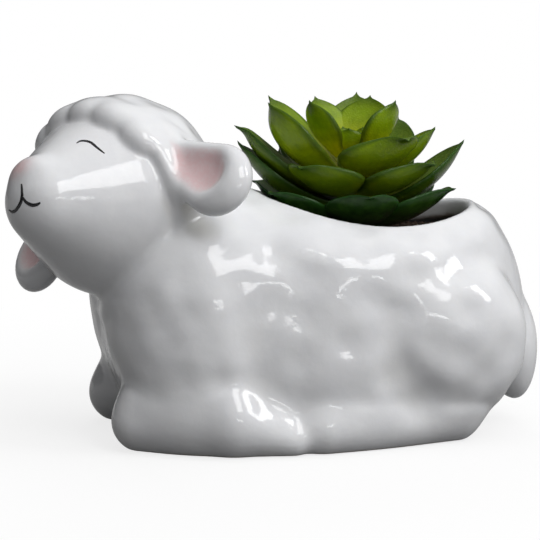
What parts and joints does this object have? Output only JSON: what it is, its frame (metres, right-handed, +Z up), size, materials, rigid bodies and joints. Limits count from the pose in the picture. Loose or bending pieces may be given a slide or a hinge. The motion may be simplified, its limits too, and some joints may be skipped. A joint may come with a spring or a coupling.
{
  "type": "animal shaped planter",
  "caption": "Glazed ceramic planter shaped as a lying lamb with its head turned, an oval opening in the back, soil, and a soft plastic succulent that lifts out.",
  "frame": {"origin": "centre of the footprint, on the surface the planter stands on", "axes": "+X towards the tail, +Z up; the head is turned towards -Y"},
  "size_m": [0.1525, 0.087, 0.0967],
  "materials": {
    "white_glaze": "glossy white glaze",
    "soil": "loose dark potting soil",
    "stem_plastic": "moulded soft plastic",
    "low_leaf_plastic": "moulded soft plastic, dark green",
    "leaf_plastic": "moulded soft plastic, yellow green"
  },
  "bodies": {
    "pot": {"body_casting": "white_glaze", "head_casting": "white_glaze", "left_ear": "white_glaze", "right_ear": "white_glaze", "tail": "white_glaze", "soil": "soil"},
    "succulent": {"stem": "stem_plastic", "bud_leaf_1": "leaf_plastic", "bud_leaf_2": "leaf_plastic", "bud_leaf_3": "leaf_plastic", "front_leaf_1": "leaf_plastic", "front_leaf_2": "leaf_plastic", "inner_leaf_1": "leaf_plastic", "inner_leaf_2": "leaf_plastic", "inner_leaf_3": "leaf_plastic", "inner_leaf_4": "leaf_plastic", "lower_leaf_1": "low_leaf_plastic", "lower_leaf_2": "low_leaf_plastic", "lower_leaf_3": "low_leaf_plastic", "lower_leaf_4": "low_leaf_plastic", "middle_leaf_1": "leaf_plastic", "middle_leaf_2": "leaf_plastic", "middle_leaf_3": "leaf_plastic", "outer_leaf_1": "low_leaf_plastic", "outer_leaf_2": "low_leaf_plastic", "outer_leaf_3": "low_leaf_plastic", "outer_leaf_4": "low_leaf_plastic", "outer_leaf_5": "low_leaf_plastic", "outer_leaf_6": "low_leaf_plastic", "side_leaf_1": "leaf_plastic", "side_leaf_2": "leaf_plastic", "upper_leaf_1": "leaf_plastic", "upper_leaf_2": "leaf_plastic", "upper_leaf_3": "leaf_plastic"}
  },
  "joints": [
    {"name": "plant_lift", "type": "slide", "parent": "pot", "child": "succulent", "axis": [0, 0, 1], "range_m": [0, 0.06]}
  ]
}
